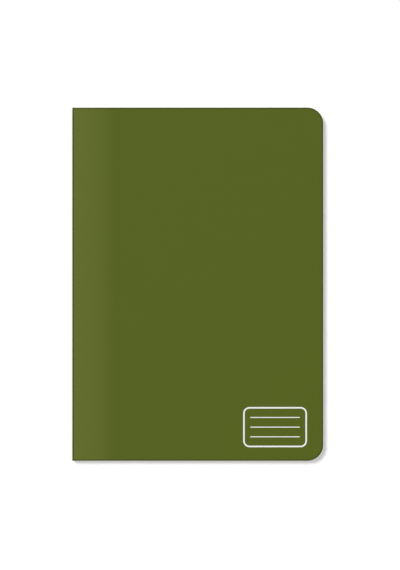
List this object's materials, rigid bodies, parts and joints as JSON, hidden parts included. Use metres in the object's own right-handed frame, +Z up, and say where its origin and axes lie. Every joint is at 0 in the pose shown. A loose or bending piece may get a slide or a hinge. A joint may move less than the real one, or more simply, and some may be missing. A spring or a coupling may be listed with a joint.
{
  "type": "softcover notebook",
  "caption": "Thin glue-bound softcover notebook with a square spine, rounded fore-edge corners and ruled leaves; both covers and the leaves open.",
  "frame": {"origin": "centre of the underside of the closed notebook, on the back cover's outer face", "axes": "+X from the spine to the fore-edge, +Y from tail to head, +Z up through the front cover"},
  "size_m": [0.179, 0.252, 0.0054],
  "materials": {
    "cover_card": "matt coated card, olive green outside",
    "leaf_paper": "uncoated, ruled",
    "binding_glue": "set hot-melt glue, satin"
  },
  "bodies": {
    "rear_block": {"cover_spine_rear": "cover_card", "glue_rear": "binding_glue", "leaf_40": "leaf_paper"},
    "front_block": {"cover_spine_front": "cover_card", "glue_front": "binding_glue", "leaf_01": "leaf_paper"},
    "front_cover": {"cover_front": "cover_card"},
    "back_cover": {"cover_back": "cover_card"},
    "sheet_02": {"leaf_02": "leaf_paper"},
    "sheet_03": {"leaf_03": "leaf_paper"},
    "sheet_04": {"leaf_04": "leaf_paper"},
    "sheet_05": {"leaf_05": "leaf_paper"},
    "sheet_06": {"leaf_06": "leaf_paper"},
    "sheet_07": {"leaf_07": "leaf_paper"},
    "sheet_08": {"leaf_08": "leaf_paper"},
    "sheet_09": {"leaf_09": "leaf_paper"},
    "sheet_10": {"leaf_10": "leaf_paper"},
    "sheet_11": {"leaf_11": "leaf_paper"},
    "sheet_12": {"leaf_12": "leaf_paper"},
    "sheet_13": {"leaf_13": "leaf_paper"},
    "sheet_14": {"leaf_14": "leaf_paper"},
    "sheet_15": {"leaf_15": "leaf_paper"},
    "sheet_16": {"leaf_16": "leaf_paper"},
    "sheet_17": {"leaf_17": "leaf_paper"},
    "sheet_18": {"leaf_18": "leaf_paper"},
    "sheet_19": {"leaf_19": "leaf_paper"},
    "sheet_20": {"leaf_20": "leaf_paper"},
    "sheet_21": {"leaf_21": "leaf_paper"},
    "sheet_22": {"leaf_22": "leaf_paper"},
    "sheet_23": {"leaf_23": "leaf_paper"},
    "sheet_24": {"leaf_24": "leaf_paper"},
    "sheet_25": {"leaf_25": "leaf_paper"},
    "sheet_26": {"leaf_26": "leaf_paper"},
    "sheet_27": {"leaf_27": "leaf_paper"},
    "sheet_28": {"leaf_28": "leaf_paper"},
    "sheet_29": {"leaf_29": "leaf_paper"},
    "sheet_30": {"leaf_30": "leaf_paper"},
    "sheet_31": {"leaf_31": "leaf_paper"},
    "sheet_32": {"leaf_32": "leaf_paper"},
    "sheet_33": {"leaf_33": "leaf_paper"},
    "sheet_34": {"leaf_34": "leaf_paper"},
    "sheet_35": {"leaf_35": "leaf_paper"},
    "sheet_36": {"leaf_36": "leaf_paper"},
    "sheet_37": {"leaf_37": "leaf_paper"},
    "sheet_38": {"leaf_38": "leaf_paper"},
    "sheet_39": {"leaf_39": "leaf_paper"}
  },
  "joints": [
    {"name": "open_at_centre", "type": "hinge", "parent": "rear_block", "child": "front_block", "pos_m": [-0.08952, 0, 0.00271], "axis": [0, -1, 0], "range_deg": [0, 179.9]},
    {"name": "front_cover_open", "type": "hinge", "parent": "front_block", "child": "front_cover", "pos_m": [-0.08952, 0, 0.00544], "axis": [0, -1, 0], "range_deg": [0, 179.9]},
    {"name": "back_cover_open", "type": "hinge", "parent": "rear_block", "child": "back_cover", "pos_m": [-0.08952, 0, -0.00002], "axis": [0, 1, 0], "range_deg": [0, 180]},
    {"name": "leaf_02_turn", "type": "hinge", "parent": "rear_block", "child": "sheet_02", "pos_m": [-0.08952, 0, 0.00271], "axis": [0, -1, 0], "range_deg": [0, 179.85]},
    {"name": "leaf_03_turn", "type": "hinge", "parent": "rear_block", "child": "sheet_03", "pos_m": [-0.08952, 0, 0.00271], "axis": [0, -1, 0], "range_deg": [0, 179.8]},
    {"name": "leaf_04_turn", "type": "hinge", "parent": "rear_block", "child": "sheet_04", "pos_m": [-0.08952, 0, 0.00271], "axis": [0, -1, 0], "range_deg": [0, 179.74]},
    {"name": "leaf_05_turn", "type": "hinge", "parent": "rear_block", "child": "sheet_05", "pos_m": [-0.08952, 0, 0.00271], "axis": [0, -1, 0], "range_deg": [0, 179.69]},
    {"name": "leaf_06_turn", "type": "hinge", "parent": "rear_block", "child": "sheet_06", "pos_m": [-0.08952, 0, 0.00271], "axis": [0, -1, 0], "range_deg": [0, 179.63]},
    {"name": "leaf_07_turn", "type": "hinge", "parent": "rear_block", "child": "sheet_07", "pos_m": [-0.08952, 0, 0.00271], "axis": [0, -1, 0], "range_deg": [0, 179.57]},
    {"name": "leaf_08_turn", "type": "hinge", "parent": "rear_block", "child": "sheet_08", "pos_m": [-0.08952, 0, 0.00271], "axis": [0, -1, 0], "range_deg": [0, 179.5]},
    {"name": "leaf_09_turn", "type": "hinge", "parent": "rear_block", "child": "sheet_09", "pos_m": [-0.08952, 0, 0.00271], "axis": [0, -1, 0], "range_deg": [0, 179.43]},
    {"name": "leaf_10_turn", "type": "hinge", "parent": "rear_block", "child": "sheet_10", "pos_m": [-0.08952, 0, 0.00271], "axis": [0, -1, 0], "range_deg": [0, 179.35]},
    {"name": "leaf_11_turn", "type": "hinge", "parent": "rear_block", "child": "sheet_11", "pos_m": [-0.08952, 0, 0.00271], "axis": [0, -1, 0], "range_deg": [0, 179.26]},
    {"name": "leaf_12_turn", "type": "hinge", "parent": "rear_block", "child": "sheet_12", "pos_m": [-0.08952, 0, 0.00271], "axis": [0, -1, 0], "range_deg": [0, 179.15]},
    {"name": "leaf_13_turn", "type": "hinge", "parent": "rear_block", "child": "sheet_13", "pos_m": [-0.08952, 0, 0.00271], "axis": [0, -1, 0], "range_deg": [0, 179.03]},
    {"name": "leaf_14_turn", "type": "hinge", "parent": "rear_block", "child": "sheet_14", "pos_m": [-0.08952, 0, 0.00271], "axis": [0, -1, 0], "range_deg": [0, 178.89]},
    {"name": "leaf_15_turn", "type": "hinge", "parent": "rear_block", "child": "sheet_15", "pos_m": [-0.08952, 0, 0.00271], "axis": [0, -1, 0], "range_deg": [0, 178.72]},
    {"name": "leaf_16_turn", "type": "hinge", "parent": "rear_block", "child": "sheet_16", "pos_m": [-0.08952, 0, 0.00271], "axis": [0, -1, 0], "range_deg": [0, 178.53]},
    {"name": "leaf_17_turn", "type": "hinge", "parent": "rear_block", "child": "sheet_17", "pos_m": [-0.08952, 0, 0.00271], "axis": [0, -1, 0], "range_deg": [0, 178.31]},
    {"name": "leaf_18_turn", "type": "hinge", "parent": "rear_block", "child": "sheet_18", "pos_m": [-0.08952, 0, 0.00271], "axis": [0, -1, 0], "range_deg": [0, 178.04]},
    {"name": "leaf_19_turn", "type": "hinge", "parent": "rear_block", "child": "sheet_19", "pos_m": [-0.08952, 0, 0.00271], "axis": [0, -1, 0], "range_deg": [0, 177.75]},
    {"name": "leaf_20_turn", "type": "hinge", "parent": "rear_block", "child": "sheet_20", "pos_m": [-0.08952, 0, 0.00271], "axis": [0, -1, 0], "range_deg": [0, 177.4]},
    {"name": "leaf_21_turn", "type": "hinge", "parent": "rear_block", "child": "sheet_21", "pos_m": [-0.08952, 0, 0.00271], "axis": [0, -1, 0], "range_deg": [0, 2.5]},
    {"name": "leaf_22_turn", "type": "hinge", "parent": "rear_block", "child": "sheet_22", "pos_m": [-0.08952, 0, 0.00271], "axis": [0, -1, 0], "range_deg": [0, 2.16]},
    {"name": "leaf_23_turn", "type": "hinge", "parent": "rear_block", "child": "sheet_23", "pos_m": [-0.08952, 0, 0.00271], "axis": [0, -1, 0], "range_deg": [0, 1.86]},
    {"name": "leaf_24_turn", "type": "hinge", "parent": "rear_block", "child": "sheet_24", "pos_m": [-0.08952, 0, 0.00271], "axis": [0, -1, 0], "range_deg": [0, 1.6]},
    {"name": "leaf_25_turn", "type": "hinge", "parent": "rear_block", "child": "sheet_25", "pos_m": [-0.08952, 0, 0.00271], "axis": [0, -1, 0], "range_deg": [0, 1.37]},
    {"name": "leaf_26_turn", "type": "hinge", "parent": "rear_block", "child": "sheet_26", "pos_m": [-0.08952, 0, 0.00271], "axis": [0, -1, 0], "range_deg": [0, 1.18]},
    {"name": "leaf_27_turn", "type": "hinge", "parent": "rear_block", "child": "sheet_27", "pos_m": [-0.08952, 0, 0.00271], "axis": [0, -1, 0], "range_deg": [0, 1.01]},
    {"name": "leaf_28_turn", "type": "hinge", "parent": "rear_block", "child": "sheet_28", "pos_m": [-0.08952, 0, 0.00271], "axis": [0, -1, 0], "range_deg": [0, 0.871]},
    {"name": "leaf_29_turn", "type": "hinge", "parent": "rear_block", "child": "sheet_29", "pos_m": [-0.08952, 0, 0.00271], "axis": [0, -1, 0], "range_deg": [0, 0.748]},
    {"name": "leaf_30_turn", "type": "hinge", "parent": "rear_block", "child": "sheet_30", "pos_m": [-0.08952, 0, 0.00271], "axis": [0, -1, 0], "range_deg": [0, 0.642]},
    {"name": "leaf_31_turn", "type": "hinge", "parent": "rear_block", "child": "sheet_31", "pos_m": [-0.08952, 0, 0.00271], "axis": [0, -1, 0], "range_deg": [0, 0.55]},
    {"name": "leaf_32_turn", "type": "hinge", "parent": "rear_block", "child": "sheet_32", "pos_m": [-0.08952, 0, 0.00271], "axis": [0, -1, 0], "range_deg": [0, 0.469]},
    {"name": "leaf_33_turn", "type": "hinge", "parent": "rear_block", "child": "sheet_33", "pos_m": [-0.08952, 0, 0.00271], "axis": [0, -1, 0], "range_deg": [0, 0.397]},
    {"name": "leaf_34_turn", "type": "hinge", "parent": "rear_block", "child": "sheet_34", "pos_m": [-0.08952, 0, 0.00271], "axis": [0, -1, 0], "range_deg": [0, 0.332]},
    {"name": "leaf_35_turn", "type": "hinge", "parent": "rear_block", "child": "sheet_35", "pos_m": [-0.08952, 0, 0.00271], "axis": [0, -1, 0], "range_deg": [0, 0.271]},
    {"name": "leaf_36_turn", "type": "hinge", "parent": "rear_block", "child": "sheet_36", "pos_m": [-0.08952, 0, 0.00271], "axis": [0, -1, 0], "range_deg": [0, 0.214]},
    {"name": "leaf_37_turn", "type": "hinge", "parent": "rear_block", "child": "sheet_37", "pos_m": [-0.08952, 0, 0.00271], "axis": [0, -1, 0], "range_deg": [0, 0.16]},
    {"name": "leaf_38_turn", "type": "hinge", "parent": "rear_block", "child": "sheet_38", "pos_m": [-0.08952, 0, 0.00271], "axis": [0, -1, 0], "range_deg": [0, 0.106]},
    {"name": "leaf_39_turn", "type": "hinge", "parent": "rear_block", "child": "sheet_39", "pos_m": [-0.08952, 0, 0.00271], "axis": [0, -1, 0], "range_deg": [0, 0.054]}
  ],
  "couplings": [
    {"joint": "leaf_02_turn", "follows": "open_at_centre", "ratio": 0.99971},
    {"joint": "leaf_03_turn", "follows": "open_at_centre", "ratio": 0.99942},
    {"joint": "leaf_04_turn", "follows": "open_at_centre", "ratio": 0.99912},
    {"joint": "leaf_05_turn", "follows": "open_at_centre", "ratio": 0.99882},
    {"joint": "leaf_06_turn", "follows": "open_at_centre", "ratio": 0.9985},
    {"joint": "leaf_07_turn", "follows": "open_at_centre", "ratio": 0.99816},
    {"joint": "leaf_08_turn", "follows": "open_at_centre", "ratio": 0.9978},
    {"joint": "leaf_09_turn", "follows": "open_at_centre", "ratio": 0.9974},
    {"joint": "leaf_10_turn", "follows": "open_at_centre", "ratio": 0.99695},
    {"joint": "leaf_11_turn", "follows": "open_at_centre", "ratio": 0.99644},
    {"joint": "leaf_12_turn", "follows": "open_at_centre", "ratio": 0.99585},
    {"joint": "leaf_13_turn", "follows": "open_at_centre", "ratio": 0.99516},
    {"joint": "leaf_14_turn", "follows": "open_at_centre", "ratio": 0.99437},
    {"joint": "leaf_15_turn", "follows": "open_at_centre", "ratio": 0.99345},
    {"joint": "leaf_16_turn", "follows": "open_at_centre", "ratio": 0.99237},
    {"joint": "leaf_17_turn", "follows": "open_at_centre", "ratio": 0.99113},
    {"joint": "leaf_18_turn", "follows": "open_at_centre", "ratio": 0.98968},
    {"joint": "leaf_19_turn", "follows": "open_at_centre", "ratio": 0.98802},
    {"joint": "leaf_20_turn", "follows": "open_at_centre", "ratio": 0.9861},
    {"joint": "leaf_21_turn", "follows": "open_at_centre", "ratio": 0.013897},
    {"joint": "leaf_22_turn", "follows": "open_at_centre", "ratio": 0.011984},
    {"joint": "leaf_23_turn", "follows": "open_at_centre", "ratio": 0.010317},
    {"joint": "leaf_24_turn", "follows": "open_at_centre", "ratio": 0.0088716},
    {"joint": "leaf_25_turn", "follows": "open_at_centre", "ratio": 0.0076265},
    {"joint": "leaf_26_turn", "follows": "open_at_centre", "ratio": 0.0065536},
    {"joint": "leaf_27_turn", "follows": "open_at_centre", "ratio": 0.0056309},
    {"joint": "leaf_28_turn", "follows": "open_at_centre", "ratio": 0.004836},
    {"joint": "leaf_29_turn", "follows": "open_at_centre", "ratio": 0.0041523},
    {"joint": "leaf_30_turn", "follows": "open_at_centre", "ratio": 0.0035631},
    {"joint": "leaf_31_turn", "follows": "open_at_centre", "ratio": 0.0030517},
    {"joint": "leaf_32_turn", "follows": "open_at_centre", "ratio": 0.0026014},
    {"joint": "leaf_33_turn", "follows": "open_at_centre", "ratio": 0.0022012},
    {"joint": "leaf_34_turn", "follows": "open_at_centre", "ratio": 0.0018399},
    {"joint": "leaf_35_turn", "follows": "open_at_centre", "ratio": 0.0015008},
    {"joint": "leaf_36_turn", "follows": "open_at_centre", "ratio": 0.001184},
    {"joint": "leaf_37_turn", "follows": "open_at_centre", "ratio": 0.00088382},
    {"joint": "leaf_38_turn", "follows": "open_at_centre", "ratio": 0.00058366},
    {"joint": "leaf_39_turn", "follows": "open_at_centre", "ratio": 0.00029461}
  ]
}
